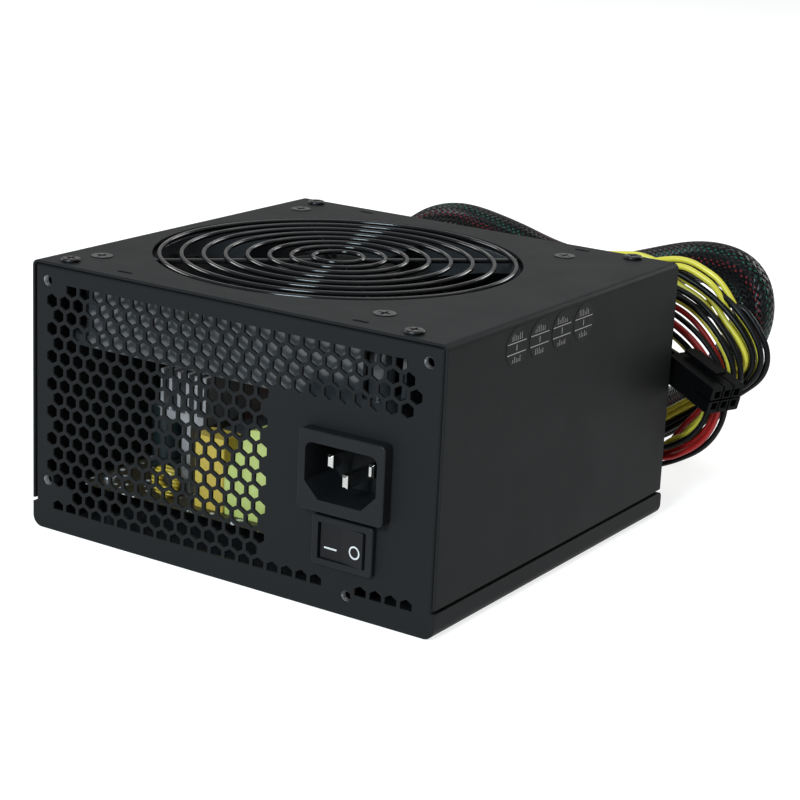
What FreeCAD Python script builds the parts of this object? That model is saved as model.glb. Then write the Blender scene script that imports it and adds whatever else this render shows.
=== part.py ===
import FreeCAD, Part
import math
import os

# ATX power supply unit with its fan, inlet, switch, circuit and output cables.
# Millimetres. X runs right seen from the inlet face, Y runs back to the cable side, Z runs up.
# The origin is the centre of the underside, on the surface that the unit stands on.

# ---- driving dimensions ----
CASE_W = 150.0
CASE_D = 140.0
CASE_H = 86.0
SHEET = 0.8
LIP_H = 8.0
LIP_TAIL = 1.2
BASE_FOLD = 3.5
COVER_FOLD = 2.0
PANEL_INSET = 1.1
PANEL_BEND = 1.2
SEAM = 1.2
HALF_W = CASE_W / 2
HALF_D = CASE_D / 2
PANEL_W = HALF_W - PANEL_INSET
PANEL_TOP = CASE_H - SHEET - 0.4

# case fixing holes in the inlet face, as (x, z), tapped 6-32
FIXING_HOLES = [(-69.0, 80.0), (69.0, 80.0), (-69.0, 16.0), (45.0, 6.0)]
FIXING_R = 1.75
COLLAR_R = 2.5
COLLAR_L = 3.0

# honeycomb of the inlet face
HEX_PITCH = 5.2
HEX_ROW = 4.4
HEX_HALF_W = 2.0
HEX_HALF_H = 2.25
HEX_TOP_Z = 78.45
HEX_ODD_X = -67.2
HEX_EVEN_X = -64.6
HEX_CUT_TOP = 79.7
HEX_CUT_LOW = 7.1
# row number: (first column, last column) of its runs of holes
HEX_RUNS = {0: [(1, 24)], 1: [(0, 25)], 2: [(0, 25)], 3: [(0, 25)], 14: [(0, 15)], 15: [(2, 15)],
            16: [(0, 19), (22, 25)]}
HEX_PLAIN_RUN = [(0, 15)]
HEX_ROWS = 17

# mains inlet and rocker switch, centres in the inlet face
INLET_X = 44.0
INLET_Z = 42.8
INLET_BEZEL = (29.5, 24.0, 4.0)
INLET_BODY = (27.0, 20.0)
INLET_MOUTH = (24.5, 16.6)
INLET_CHAMFER = 4.8
INLET_DEPTH = 15.5
PIN_PITCH = 7.0
SWITCH_X = 44.0
SWITCH_Z = 21.8
SWITCH_BEZEL = (21.0, 15.0, 2.0)
SWITCH_BODY = (19.2, 13.0)
ROCKER_R = 7.9
ROCKER_H = 10.8
ROCKER_TILT = 4.0
ROCKER_PIVOT_Y = -HALF_D - SWITCH_BEZEL[2] + 2.5
ROCKER_FACE = 1.9
ROCKER_RISE = 0.63

# 120 mm fan under the top plate
FAN_X = -10.0
FAN_Y = 0.0
FAN_SIZE = 120.0
FAN_DEPTH = 25.0
FAN_HOLE_HALF = 52.5
FAN_TOP = CASE_H - SHEET - 1.6
FAN_LOW = FAN_TOP - FAN_DEPTH
FAN_DUCT_R = 57.6
BLADE_R = 56.6
BLADES = 7
HUB_R = 20.5
TOP_HOLE_R = 58.5
GUARD_RINGS = 8
GUARD_FIRST_R = 8.0
GUARD_STEP = 6.9
GUARD_WIRE_R = 0.75
ARM_WIRE_R = 0.8

# screws of the cover, as (x, y), and the small slots beside them
COVER_SCREWS = [(-64.5, -64.5), (60.6, -65.0), (-64.5, 64.5), (60.6, 65.5)]
COVER_SLOTS = [(-43.0, -64.5), (42.5, -64.5), (-43.0, 64.5), (42.5, 64.5)]
SLOT_L = 5.5
SLOT_W = 1.6

# circuit board
BOARD_Z = 10.0
BOARD_T = 1.6
BOARD_TOP = BOARD_Z + BOARD_T
SINK_WEB = 3.4
PRIMARY_SINK_X = -36.5
SECONDARY_SINK_X = 14.0
BOARD_FRONT = -52.0
STANDOFFS = [(-63.0, -47.0), (63.0, -47.0), (-63.0, 53.0), (63.0, 53.0)]

# cable outlet in the rear panel
OUTLET_X = 38.0
OUTLET_Z = 50.0
OUTLET_HOLE = (38.0, 22.0)
OUTLET_WALL = 1.5
OUTLET_RIM = 3.5

# output cables: diameter, and the points of the route from the outlet
MAIN_D = 15.0
MAIN_ROUTE = [
    (41, 70, 49.5), (41, 86, 49.5), (36, 106, 41), (19, 120, 27), (-7, 121, 13), (-36, 120.5, 8.2),
    (-63, 120, 12), (-80, 120, 28), (-78, 119.5, 48), (-62, 118.8, 63.5), (-42.5, 118.5, 76.8),
    (-20, 118.5, 73.6), (2, 118.7, 67.2), (24, 119.2, 65), (43, 120, 71), (61, 120.5, 77),
    (77.5, 120.8, 74.2), (81.5, 121.5, 60), (74, 123.5, 44), (63, 128, 29), (47, 138, 17),
    (26, 150, 9.2), (4, 156, 8.2)]
CPU_D = 9.0
CPU_ROUTE = [
    (26.5, 70, 52.5), (26.5, 84, 52.5), (20, 99.5, 44), (1, 105.5, 31), (-21, 105.5, 15),
    (-46, 105, 5.5), (-70, 105, 13), (-81, 105, 36), (-73, 105, 57), (-50, 105, 68), (-22, 105, 70),
    (6, 104.5, 70.5), (30, 104.8, 73), (51, 105.5, 76.2), (70, 105.8, 69.5), (84, 105.8, 58.5),
    (90, 105.8, 47.5), (82, 105.8, 38), (67, 105.8, 27), (51, 105.5, 15), (34, 105, 9.9), (16, 105, 9.9)]
DRIVE_B_D = 5.5
DRIVE_B_ROUTE = [
    (23.5, 70, 44.5), (23.5, 80, 44.5), (18, 91.5, 37.5), (4, 96, 27), (-13, 96, 13), (-31, 95.5, 4),
    (-50, 95.5, 8), (-61, 95.5, 24), (-58, 95.5, 44), (-43, 95.5, 57), (-21, 95.5, 61.5), (3, 95.5, 64),
    (27, 95.8, 67), (48, 96.5, 70), (66, 97.5, 67.5), (79, 98, 57), (86.5, 98, 44), (79, 98, 31.5),
    (69, 97.5, 19), (58, 96.5, 10.6), (43, 96, 10.6)]
DRIVE_A_D = 6.0
DRIVE_A_ROUTE = [
    (53, 70, 44.5), (53, 79, 44.5), (46.5, 88, 36), (30, 88.8, 25), (11, 88.8, 13), (-9, 88.5, 4.5),
    (-30, 88.5, 3.5), (-49, 88.5, 9), (-58, 88.5, 25), (-52, 88.5, 42), (-35, 88.5, 52),
    (-13, 88.5, 56), (9, 88.5, 60.5), (30, 88.5, 65), (47, 89, 66), (61, 90, 62), (72.5, 91.5, 55),
    (81, 91.7, 45), (83, 91.5, 33), (78.5, 90.5, 22.5), (68.5, 89.5, 16), (58.5, 88.8, 11.2),
    (48, 88.5, 11.6)]
PCIE_D = 7.0
PCIE_ROUTE = [
    (30.5, 70, 43), (30.5, 80.5, 43), (24, 86.5, 34), (7, 84, 22), (-13, 81, 8), (-36, 81, 5),
    (-56, 81, 11), (-67, 81, 28), (-62, 81, 48), (-44, 81, 59), (-22, 81, 62.5), (1, 81, 65),
    (23, 81, 66), (43, 81.3, 62), (58.5, 82, 55.5), (73.1, 82, 49.4)]
PCIE_AXIS = (0.897, -0.36, -0.265)

# connector housings: contact pitch and mating length
PITCH = 4.2
PLUG_L = 20.0
SOCKET_R = 1.25
CELL_GAP = 0.7
CELL_L = 7.5
FAN_OUT = 26.0


# ---- helpers ----
def vec(x, y, z):
    return FreeCAD.Vector(x, y, z)


UP = vec(0, 0, 1)
BACK = vec(0, 1, 0)
RIGHT = vec(1, 0, 0)


def block(x0, y0, z0, x1, y1, z1):
    return Part.makeBox(x1 - x0, y1 - y0, z1 - z0, vec(x0, y0, z0))


def rod(radius, start, end):
    line = end - start
    return Part.makeCylinder(radius, line.Length, start, line)


def pillar(radius, x, y, z0, z1):
    return Part.makeCylinder(radius, z1 - z0, vec(x, y, z0))


def ring(outer, inner, x, y, z0, z1):
    return pillar(outer, x, y, z0, z1).cut(pillar(inner, x, y, z0 - 1, z1 + 1))


def fused(shapes):
    return shapes[0].multiFuse(shapes[1:]).removeSplitter() if len(shapes) > 1 else shapes[0]


def polygon(points):
    return Part.Face(Part.makePolygon([vec(*p) for p in points] + [vec(*points[0])]))


def rounded_block(x0, y0, z0, x1, y1, z1, radius, axis):
    """A block whose four edges along one axis (0, 1 or 2) are rounded."""
    shape = block(x0, y0, z0, x1, y1, z1)
    edges = [e for e in shape.Edges if abs((e.Vertexes[1].Point - e.Vertexes[0].Point)[axis]) > 1e-6]
    return shape.makeFillet(radius, edges)


def face_block(size, x, z, y0, y1, radius):
    """A rounded block centred at (x, z) in the inlet face, from y0 back to y1."""
    half_w, half_h = size[0] / 2, size[1] / 2
    return rounded_block(x - half_w, y0, z - half_h, x + half_w, y1, z + half_h, radius, 1)


def folded_channel(half_w, tip, floor, radius, y0, y1):
    """A U of sheet in XZ, its web at z = floor and its sides ending at z = tip, run from y0 to y1."""
    way = 1.0 if tip > floor else -1.0

    def outline(half, web, end, bend):
        low = web + way * bend
        mid = bend * (1 - math.sqrt(0.5))
        knee = web + way * mid
        left = Part.Arc(vec(-half, y0, low), vec(-half + mid, y0, knee), vec(-half + bend, y0, web))
        right = Part.Arc(vec(half - bend, y0, web), vec(half - mid, y0, knee), vec(half, y0, low))
        edges = [Part.LineSegment(vec(-half, y0, end), vec(-half, y0, low)), left,
                 Part.LineSegment(vec(-half + bend, y0, web), vec(half - bend, y0, web)), right,
                 Part.LineSegment(vec(half, y0, low), vec(half, y0, end)),
                 Part.LineSegment(vec(half, y0, end), vec(-half, y0, end))]
        return Part.Face(Part.Wire([e.toShape() for e in edges])).extrude(vec(0, y1 - y0, 0))

    outer = outline(half_w, floor, tip, radius)
    inner = outline(half_w - SHEET, floor + way * SHEET, tip + way, max(radius - SHEET, 0.4))
    return outer.cut(inner)


def save(node, *solids):
    shape = solids[0] if len(solids) == 1 else Part.makeCompound(list(solids))
    shape.exportStep("parts/" + node + ".step")
    return shape


# ---- sheet metal case ----
def hexagon(x, z, y0, depth):
    half = HEX_HALF_H / 2
    points = [(x, y0, z + HEX_HALF_H), (x + HEX_HALF_W, y0, z + half), (x + HEX_HALF_W, y0, z - half),
              (x, y0, z - HEX_HALF_H), (x - HEX_HALF_W, y0, z - half), (x - HEX_HALF_W, y0, z + half)]
    return polygon(points).extrude(vec(0, depth, 0))


def honeycomb():
    """Every hexagonal hole of the inlet face, the top row cut flat above and the low row cut flat below."""
    field = block(-HALF_W, -HALF_D - 2, HEX_CUT_LOW, HALF_W, -HALF_D + 3, HEX_CUT_TOP)
    holes = []
    for row in range(HEX_ROWS):
        first_x = HEX_ODD_X if row % 2 else HEX_EVEN_X
        z = HEX_TOP_Z - row * HEX_ROW
        for first, last in HEX_RUNS.get(row, HEX_PLAIN_RUN):
            for column in range(first, last + 1):
                hole = hexagon(first_x + column * HEX_PITCH, z, -HALF_D - 1, 3)
                if row in (0, HEX_ROWS - 1):
                    hole = hole.common(field)
                holes.append(hole)
    return Part.makeCompound(holes)


def end_panel(front):
    """One end of the base: a plate with returns along its sides and a deeper one along its top."""
    side = -1.0 if front else 1.0
    face = side * HALF_D
    back = side * (HALF_D - 10)
    y0, y1 = min(face, back), max(face, back)
    shape = block(-PANEL_W, y0, LIP_H / 2, PANEL_W, y1, PANEL_TOP)
    bends = []
    for edge in shape.Edges:
        middle = edge.CenterOfMass
        if abs(middle.y - face) < 1e-6 and middle.z > LIP_H / 2 + 1e-6:
            bends.append(edge)
    shape = shape.makeFillet(PANEL_BEND, bends)
    inside = face - side * SHEET
    deep = back - side
    half = PANEL_W - SHEET
    shape = shape.cut(block(-half, min(inside, deep), 0, half, max(inside, deep), PANEL_TOP - SHEET))
    short = side * (HALF_D - 5)
    for x0 in (-HALF_W, PANEL_W - SHEET - 0.1):
        x1 = x0 + HALF_W - PANEL_W + SHEET + 0.1
        shape = shape.cut(block(x0, min(short, deep), 0, x1, max(short, deep), PANEL_TOP - SHEET))
    return fused([shape, round_foot(min(face, inside), max(face, inside))])


def round_foot(y0, y1):
    """The solid foot of the case in XZ, with the rounded folds of the base."""
    shape = block(-HALF_W, y0, 0, HALF_W, y1, LIP_H)
    edges = [e for e in shape.Edges
             if abs(e.CenterOfMass.z) < 1e-6 and abs(abs(e.CenterOfMass.x) - HALF_W) < 1e-6]
    return shape.makeFillet(BASE_FOLD, edges)


def lip_mask():
    """Rounds the ends of the two side lips."""
    shape = block(-HALF_W - 1, -HALF_D, -1, HALF_W + 1, HALF_D + LIP_TAIL, LIP_H)
    edges = [e for e in shape.Edges
             if abs(e.CenterOfMass.z - LIP_H) < 1e-6 and abs(e.CenterOfMass.x) < 1e-6]
    return shape.makeFillet(1.6, edges)


def base_shell():
    tray = folded_channel(HALF_W, LIP_H, 0, BASE_FOLD, -HALF_D, HALF_D + LIP_TAIL).common(lip_mask())
    tray = tray.cut(block(-HALF_W + BASE_FOLD, HALF_D, -1, HALF_W - BASE_FOLD, HALF_D + 5, 3))
    shape = fused([tray, end_panel(True), end_panel(False)])
    collars = []
    for x, z in FIXING_HOLES:
        collars.append(rod(COLLAR_R, vec(x, -HALF_D + SHEET / 2, z), vec(x, -HALF_D + COLLAR_L, z)))
    shape = fused([shape] + collars)
    holes = [rod(FIXING_R, vec(x, -HALF_D - 1, z), vec(x, -HALF_D + COLLAR_L + 1, z))
             for x, z in FIXING_HOLES]
    holes.append(face_block(INLET_BODY, INLET_X, INLET_Z, -HALF_D - 1, -HALF_D + 2, 1.0))
    holes.append(face_block(SWITCH_BODY, SWITCH_X, SWITCH_Z, -HALF_D - 1, -HALF_D + 2, 0.6))
    cut_out = (OUTLET_HOLE[0] + 2 * OUTLET_WALL, OUTLET_HOLE[1] + 2 * OUTLET_WALL)
    holes.append(face_block(cut_out, OUTLET_X, OUTLET_Z, HALF_D - 2, HALF_D + 1, 4.5))
    for x, y in COVER_SCREWS:
        holes.append(pillar(1.5, x, y, PANEL_TOP - 3, PANEL_TOP + 1))
    for row_z in (24.0, 44.0):
        for column in range(11):
            holes.append(face_block((2.6, 14.0), -62.0 + 6.0 * column, row_z, HALF_D - 2, HALF_D + 1, 1.2))
    shape = shape.cut(honeycomb())
    return shape.cut(Part.makeCompound(holes))


def cover_shell():
    side_end = LIP_H + SEAM
    shape = folded_channel(HALF_W, side_end, CASE_H, COVER_FOLD, -HALF_D, HALF_D)
    reach = HALF_D - 5.5
    tucks = []
    for side in (-1, 1):
        out, step_in, step_out = side * HALF_W, side * (HALF_W - 1.7), side * (HALF_W - 0.9)
        tucks.append(block(min(out, step_in), -reach, side_end, max(out, step_in), reach, side_end + SHEET))
        tucks.append(block(min(step_in, step_out), -reach, 4.2,
                           max(step_in, step_out), reach, side_end + SHEET))
    shape = fused([shape] + tucks)
    holes = [pillar(TOP_HOLE_R, FAN_X, FAN_Y, CASE_H - 2, CASE_H + 1)]
    for x, y in fan_corners():
        holes.append(Part.makeCone(2.5, 3.4, SHEET, vec(x, y, CASE_H - SHEET)))
        holes.append(pillar(3.4, x, y, CASE_H, CASE_H + 1))
    for x, y in COVER_SCREWS:
        holes.append(pillar(1.7, x, y, CASE_H - 2, CASE_H + 1))
    for x, y in COVER_SLOTS:
        holes.append(rounded_block(x - SLOT_L / 2, y - SLOT_W / 2, CASE_H - 2, x + SLOT_L / 2, y + SLOT_W / 2,
                                   CASE_H + 1, 0.75, 2))
    return shape.cut(Part.makeCompound(holes))


# ---- screws ----
def cross_recess(x, y, top, size, depth):
    arm = 0.38
    return fused([block(x - size, y - arm, top - depth, x + size, y + arm, top + 0.5),
                  block(x - arm, y - size, top - depth, x + arm, y + size, top + 0.5)])


def pan_screw(x, y, seat, head_r, head_h, shank_r, length):
    head = pillar(head_r, x, y, seat, seat + head_h)
    rim = [e for e in head.Edges if abs(e.CenterOfMass.z - seat - head_h) < 1e-6]
    head = head.makeFillet(head_h * 0.55, rim)
    shape = fused([head, pillar(shank_r, x, y, seat - length, seat)])
    return shape.cut(cross_recess(x, y, seat + head_h, head_r * 0.6, head_h * 0.6))


def fan_screw(x, y):
    cone = Part.makeCone(2.5, 3.4, SHEET, vec(x, y, CASE_H - SHEET))
    head = fused([cone, pillar(3.4, x, y, CASE_H, CASE_H + 0.25)])
    shank = pillar(2.2, x, y, FAN_TOP - 10, CASE_H - SHEET)
    return fused([head, shank]).cut(cross_recess(x, y, CASE_H + 0.25, 2.0, 0.7))


# ---- fan ----
def fan_corners():
    return [(FAN_X + i * FAN_HOLE_HALF, FAN_Y + j * FAN_HOLE_HALF) for i in (-1, 1) for j in (-1, 1)]


def fan_guard():
    arm_z = FAN_TOP + ARM_WIRE_R
    ring_z = arm_z + ARM_WIRE_R + GUARD_WIRE_R - 0.35
    wires = []
    for n in range(GUARD_RINGS):
        wires.append(Part.makeTorus(GUARD_FIRST_R + n * GUARD_STEP, GUARD_WIRE_R, vec(FAN_X, FAN_Y, ring_z)))
    eye_r = 3.5
    for x, y in fan_corners():
        out = vec(x - FAN_X, y - FAN_Y, 0)
        far = out.Length
        out.normalize()
        centre = vec(FAN_X, FAN_Y, arm_z)
        wires.append(rod(ARM_WIRE_R, centre + out * (GUARD_FIRST_R - 1), centre + out * (far - eye_r)))
        wires.append(Part.makeTorus(eye_r, ARM_WIRE_R, vec(x, y, arm_z)))
    return wires[0].multiFuse(wires[1:])


def fan_frame():
    half = FAN_SIZE / 2
    x0, x1, y0, y1 = FAN_X - half, FAN_X + half, FAN_Y - half, FAN_Y + half
    flange = 3.5
    plates = [rounded_block(x0, y0, FAN_LOW, x1, y1, FAN_LOW + flange, 6.0, 2),
              rounded_block(x0, y0, FAN_TOP - flange, x1, y1, FAN_TOP, 6.0, 2)]
    duct = pillar(FAN_DUCT_R + 1.8, FAN_X, FAN_Y, FAN_LOW, FAN_TOP)
    posts = [pillar(4.4, x, y, FAN_LOW, FAN_TOP) for x, y in fan_corners()]
    walls = [block(x0 + 9, y0, FAN_LOW, x1 - 9, y0 + 1.5, FAN_TOP),
             block(x0 + 9, y1 - 1.5, FAN_LOW, x1 - 9, y1, FAN_TOP),
             block(x0, y0 + 9, FAN_LOW, x0 + 1.5, y1 - 9, FAN_TOP),
             block(x1 - 1.5, y0 + 9, FAN_LOW, x1, y1 - 9, FAN_TOP)]
    shape = fused(plates + [duct] + posts + walls)
    shape = shape.cut(pillar(FAN_DUCT_R, FAN_X, FAN_Y, FAN_LOW - 1, FAN_TOP + 1))
    bores = [pillar(2.2, x, y, FAN_LOW - 1, FAN_TOP + 1) for x, y in fan_corners()]
    return shape.cut(Part.makeCompound(bores))


def fan_mount():
    """The hub plate with its bearing tube, carried by four struts that end at the duct."""
    struts = []
    for turn in (20, 110, 200, 290):
        strut = block(FAN_X + HUB_R - 1, FAN_Y - 2.2, FAN_LOW,
                      FAN_X + FAN_DUCT_R + 0.6, FAN_Y + 2.2, FAN_LOW + 3)
        strut.rotate(vec(FAN_X, FAN_Y, 0), UP, turn)
        struts.append(strut)
    shape = fused([pillar(HUB_R, FAN_X, FAN_Y, FAN_LOW, FAN_LOW + 1.6),
                   pillar(4.5, FAN_X, FAN_Y, FAN_LOW, FAN_LOW + 14.5)] + struts)
    shape = shape.common(pillar(FAN_DUCT_R, FAN_X, FAN_Y, FAN_LOW, FAN_TOP))
    return shape.cut(pillar(3.0, FAN_X, FAN_Y, FAN_LOW + 1.6, FAN_TOP))


def fan_blade(turn):
    """One blade, lofted through thin slanted sections at four radii."""
    sections = []
    for radius, chord, pitch, thick in ((19.8, 15.0, 50.0, 2.0), (32.0, 24.0, 42.0, 1.8),
                                        (45.0, 32.0, 35.0, 1.6), (BLADE_R, 35.0, 30.0, 1.3)):
        lean = math.radians(pitch)
        sweep = (radius - 19.8) * 0.18
        along = (-math.cos(lean) * chord / 2, math.sin(lean) * chord / 2)
        across = (math.sin(lean) * thick / 2, math.cos(lean) * thick / 2)
        points = []
        for s, t in ((-1, -0.3), (-0.5, 1), (0.5, 1), (1, 0.3), (0.5, -1), (-0.5, -1)):
            y = s * along[0] + t * across[0] + sweep
            z = s * along[1] + t * across[1] + FAN_LOW + 13.2
            points.append((radius, y, z))
        sections.append(Part.makePolygon([vec(*p) for p in points + points[:1]]))
    blade = Part.makeLoft(sections, True, True)
    blade.translate(vec(FAN_X, FAN_Y, 0))
    blade.rotate(vec(FAN_X, FAN_Y, 0), UP, turn)
    return blade


def fan_impeller():
    top = FAN_TOP - 1.2
    low = FAN_LOW + 4.2
    cup = pillar(HUB_R, FAN_X, FAN_Y, low, top)
    rim = [e for e in cup.Edges if abs(e.CenterOfMass.z - top) < 1e-6]
    cup = cup.makeFillet(1.8, rim)
    blades = fused([fan_blade(n * 360.0 / BLADES) for n in range(BLADES)])
    keep = ring(BLADE_R, HUB_R - 0.7, FAN_X, FAN_Y, low, top)
    shape = fused([cup, blades.common(keep)])
    shape = shape.cut(pillar(HUB_R - 1.5, FAN_X, FAN_Y, low - 1, top - 1.8))
    boss = pillar(4.0, FAN_X, FAN_Y, top - 4.5, top - 1)
    return fused([shape, boss]).cut(pillar(1.5, FAN_X, FAN_Y, low, top - 1.2))


def fan_stator():
    """The fan's fixed core with its four wound poles, round the bearing tube."""
    low = FAN_LOW + 6.0
    core = [ring(7.0, 4.5, FAN_X, FAN_Y, low, low + 7)]
    for turn in (45, 135, 225, 315):
        pole = fused([block(FAN_X + 6.5, FAN_Y - 1.6, low + 1, FAN_X + 13.5, FAN_Y + 1.6, low + 6),
                      block(FAN_X + 13, FAN_Y - 5.0, low + 0.5, FAN_X + 15.0, FAN_Y + 5.0, low + 6.5)])
        pole.rotate(vec(FAN_X, FAN_Y, 0), UP, turn)
        core.append(pole)
    return fused(core)


def fan_coils():
    low = FAN_LOW + 6.0
    coils = []
    for turn in (45, 135, 225, 315):
        coil = rounded_block(FAN_X + 7.2, FAN_Y - 3.6, low - 1.0,
                             FAN_X + 12.8, FAN_Y + 3.6, low + 8.0, 1.5, 0)
        coil = coil.cut(block(FAN_X + 6, FAN_Y - 1.6, low + 1, FAN_X + 14, FAN_Y + 1.6, low + 6))
        coil.rotate(vec(FAN_X, FAN_Y, 0), UP, turn)
        coils.append(coil)
    return coils


# ---- mains inlet and switch ----
def inlet_mouth():
    """The socket's hollow: rounded upper corners, chamfered lower corners."""
    half_w, half_h, cut = INLET_MOUTH[0] / 2, INLET_MOUTH[1] / 2, INLET_CHAMFER
    y = -HALF_D - INLET_BEZEL[2] - 1
    points = [(-half_w, half_h), (half_w, half_h), (half_w, -half_h + cut), (half_w - cut, -half_h),
              (-half_w + cut, -half_h), (-half_w, -half_h + cut)]
    shape = polygon([(INLET_X + a, y, INLET_Z + b) for a, b in points]).extrude(vec(0, INLET_DEPTH + 1, 0))
    top = [e for e in shape.Edges
           if abs(e.CenterOfMass.z - INLET_Z - half_h) < 1e-6
           and abs(abs(e.CenterOfMass.x - INLET_X) - half_w) < 1e-6]
    return shape.makeFillet(2.4, top)


def inlet_pins():
    """Line, neutral and, set lower, the longer protective-earth blade, with tabs behind."""
    pins = []
    for dx, dz, reach in ((-PIN_PITCH, 2.0, 4.6), (PIN_PITCH, 2.0, 4.6), (0.0, -2.0, 2.0)):
        x, z = INLET_X + dx, INLET_Z + dz
        tip = -HALF_D - INLET_BEZEL[2] + reach
        blade = block(x - 1, tip, z - 2, x + 1, -51.0, z + 2)
        front = [e for e in blade.Edges if abs(e.CenterOfMass.y - tip) < 1e-6]
        blade = blade.makeChamfer(0.6, front)
        pins.append(fused([blade, block(x - 0.4, -51.5, z - 3.1, x + 0.4, -43.0, z + 3.1)]))
    return pins


def inlet_socket(pins):
    face = -HALF_D - INLET_BEZEL[2]
    bezel = face_block(INLET_BEZEL, INLET_X, INLET_Z, face, -HALF_D, 1.6)
    rim = [e for e in bezel.Edges if abs(e.CenterOfMass.y - face) < 1e-6]
    bezel = bezel.makeFillet(0.5, rim)
    body = face_block(INLET_BODY, INLET_X, INLET_Z, -HALF_D, -54.0, 1.0)
    shape = fused([bezel, body]).cut(inlet_mouth())
    return shape.cut(Part.makeCompound(pins))


def switch_housing():
    face = -HALF_D - SWITCH_BEZEL[2]
    bezel = face_block(SWITCH_BEZEL, SWITCH_X, SWITCH_Z, face, -HALF_D, 1.0)
    rim = [e for e in bezel.Edges if abs(e.CenterOfMass.y - face) < 1e-6]
    bezel = bezel.makeFillet(0.5, rim)
    body = face_block(SWITCH_BODY, SWITCH_X, SWITCH_Z, -HALF_D, -54.0, 0.6)
    window = block(SWITCH_X - ROCKER_R - 0.35, face - 1, SWITCH_Z - ROCKER_H / 2 - 0.1,
                   SWITCH_X + ROCKER_R + 0.35, -59.0, SWITCH_Z + ROCKER_H / 2 + 0.1)
    shape = fused([bezel, body]).cut(window)
    span = SWITCH_BODY[1] / 2
    bore = rod(1.25, vec(SWITCH_X, ROCKER_PIVOT_Y, SWITCH_Z - span),
               vec(SWITCH_X, ROCKER_PIVOT_Y, SWITCH_Z + span))
    return shape.cut(bore).cut(Part.makeCompound(switch_terminals()))


def switch_rocker():
    """The rocker at rest, its shallow valley turned so that the left half is pressed in."""
    low = SWITCH_Z - ROCKER_H / 2
    drum = Part.makeCylinder(ROCKER_R, ROCKER_H, vec(SWITCH_X, ROCKER_PIVOT_Y, low))
    edge = -ROCKER_FACE - ROCKER_RISE
    outline = [(-12, 1.5), (-12, edge), (0, -ROCKER_FACE), (12, edge), (12, 1.5)]
    shape = drum.common(polygon([(SWITCH_X + a, ROCKER_PIVOT_Y + b, low) for a, b in outline])
                        .extrude(vec(0, 0, ROCKER_H)))
    pin = rod(1.2, vec(SWITCH_X, ROCKER_PIVOT_Y, low - 0.6),
              vec(SWITCH_X, ROCKER_PIVOT_Y, low + ROCKER_H + 0.6))
    shape = fused([shape, pin])
    shape.rotate(vec(SWITCH_X, ROCKER_PIVOT_Y, 0), UP, -ROCKER_TILT)
    return shape


def switch_terminals():
    return [block(SWITCH_X + dx - 0.4, -58.0, SWITCH_Z - 2.4, SWITCH_X + dx + 0.4, -46.0, SWITCH_Z + 2.4)
            for dx in (-4.5, 4.5)]


def terminal_boots(tabs):
    """Insulating sleeves pushed over the tabs of the inlet and the switch."""
    boots = []
    for tab in tabs:
        box = tab.BoundBox
        x, z = box.Center.x, box.Center.z
        half = min(box.ZLength, 6.2) / 2 + 0.9
        boot = rounded_block(x - 1.9, box.YMax - 7.5, z - half, x + 1.9, box.YMax + 2.5, z + half, 0.8, 1)
        boots.append(boot.cut(tab))
    return boots


# ---- tubes that follow a route ----
def route_path(points):
    """Straight runs joined by tangent arcs, each as large as its two runs allow; also the radii."""
    marks = [vec(*p) for p in points]
    edges, radii = [], []
    last = marks[0]
    for before, here, after in zip(marks, marks[1:], marks[2:]):
        back, ahead = before - here, after - here
        shorter = min(back.Length, ahead.Length)
        back.normalize()
        ahead.normalize()
        turn = math.pi - back.getAngle(ahead)
        trim = 0.45 * shorter
        radius = trim / math.tan(turn / 2)
        start, end = here + back * trim, here + ahead * trim
        bisector = back + ahead
        bisector.normalize()
        centre = here + bisector * (radius / math.cos(turn / 2))
        middle = centre - bisector * radius
        edges.append(Part.LineSegment(last, start).toShape())
        edges.append(Part.Arc(start, middle, end).toShape())
        radii.append(radius)
        last = end
    edges.append(Part.LineSegment(last, marks[-1]).toShape())
    return Part.Wire(edges), radii


def tube(name, points, diameter):
    path, radii = route_path(points)
    start = vec(*points[0])
    profile = Part.Wire([Part.Circle(start, vec(*points[1]) - start, diameter / 2).toShape()])
    shape = path.makePipeShell([profile], True, False)
    expected = math.pi * diameter ** 2 / 4 * path.Length
    print("%s: length %.1f, smallest radius %.1f, volume / expected %.4f"
          % (name, path.Length, min(radii), shape.Volume / expected))
    return shape


# ---- circuit ----
def board_block(x0, y0, x1, y1, height, radius=0.8):
    return rounded_block(x0, y0, BOARD_TOP, x1, y1, BOARD_TOP + height, radius, 2)


def can(radius, x, y, height):
    """An electrolytic capacitor with a rolled groove near its foot."""
    shape = pillar(radius, x, y, BOARD_TOP, BOARD_TOP + height)
    top = [e for e in shape.Edges if abs(e.CenterOfMass.z - BOARD_TOP - height) < 1e-6]
    shape = shape.makeFillet(radius * 0.12, top)
    return shape.cut(Part.makeTorus(radius + 0.3, 0.8, vec(x, y, BOARD_TOP + height * 0.13)))


def upright_toroid(radius, thick, x, y, across):
    """A wound ring that stands on the board, its axis along the given direction."""
    shape = Part.makeTorus(radius, thick, vec(x, y, BOARD_TOP + radius + thick - 0.3), across)
    return shape.cut(block(x - 40, y - 40, BOARD_TOP - 10, x + 40, y + 40, BOARD_TOP))


def comb_heatsink(x, y0, y1, lean):
    """An extruded sink: a thin web, a flange on top and a comb of fins on that."""
    web_top = 35.0
    flange_top = 37.8
    parts = [block(x - SINK_WEB / 2, y0, BOARD_TOP, x + SINK_WEB / 2, y1, web_top),
             block(x - 9 + lean, y0, web_top - 0.01, x + 9 + lean, y1, flange_top)]
    for n in range(6):
        fin_x = x + lean - 8.4 + 3.36 * n
        parts.append(block(fin_x - 0.6, y0, flange_top - 0.01, fin_x + 0.6, y1, flange_top + 13))
    return fused(parts)


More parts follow.
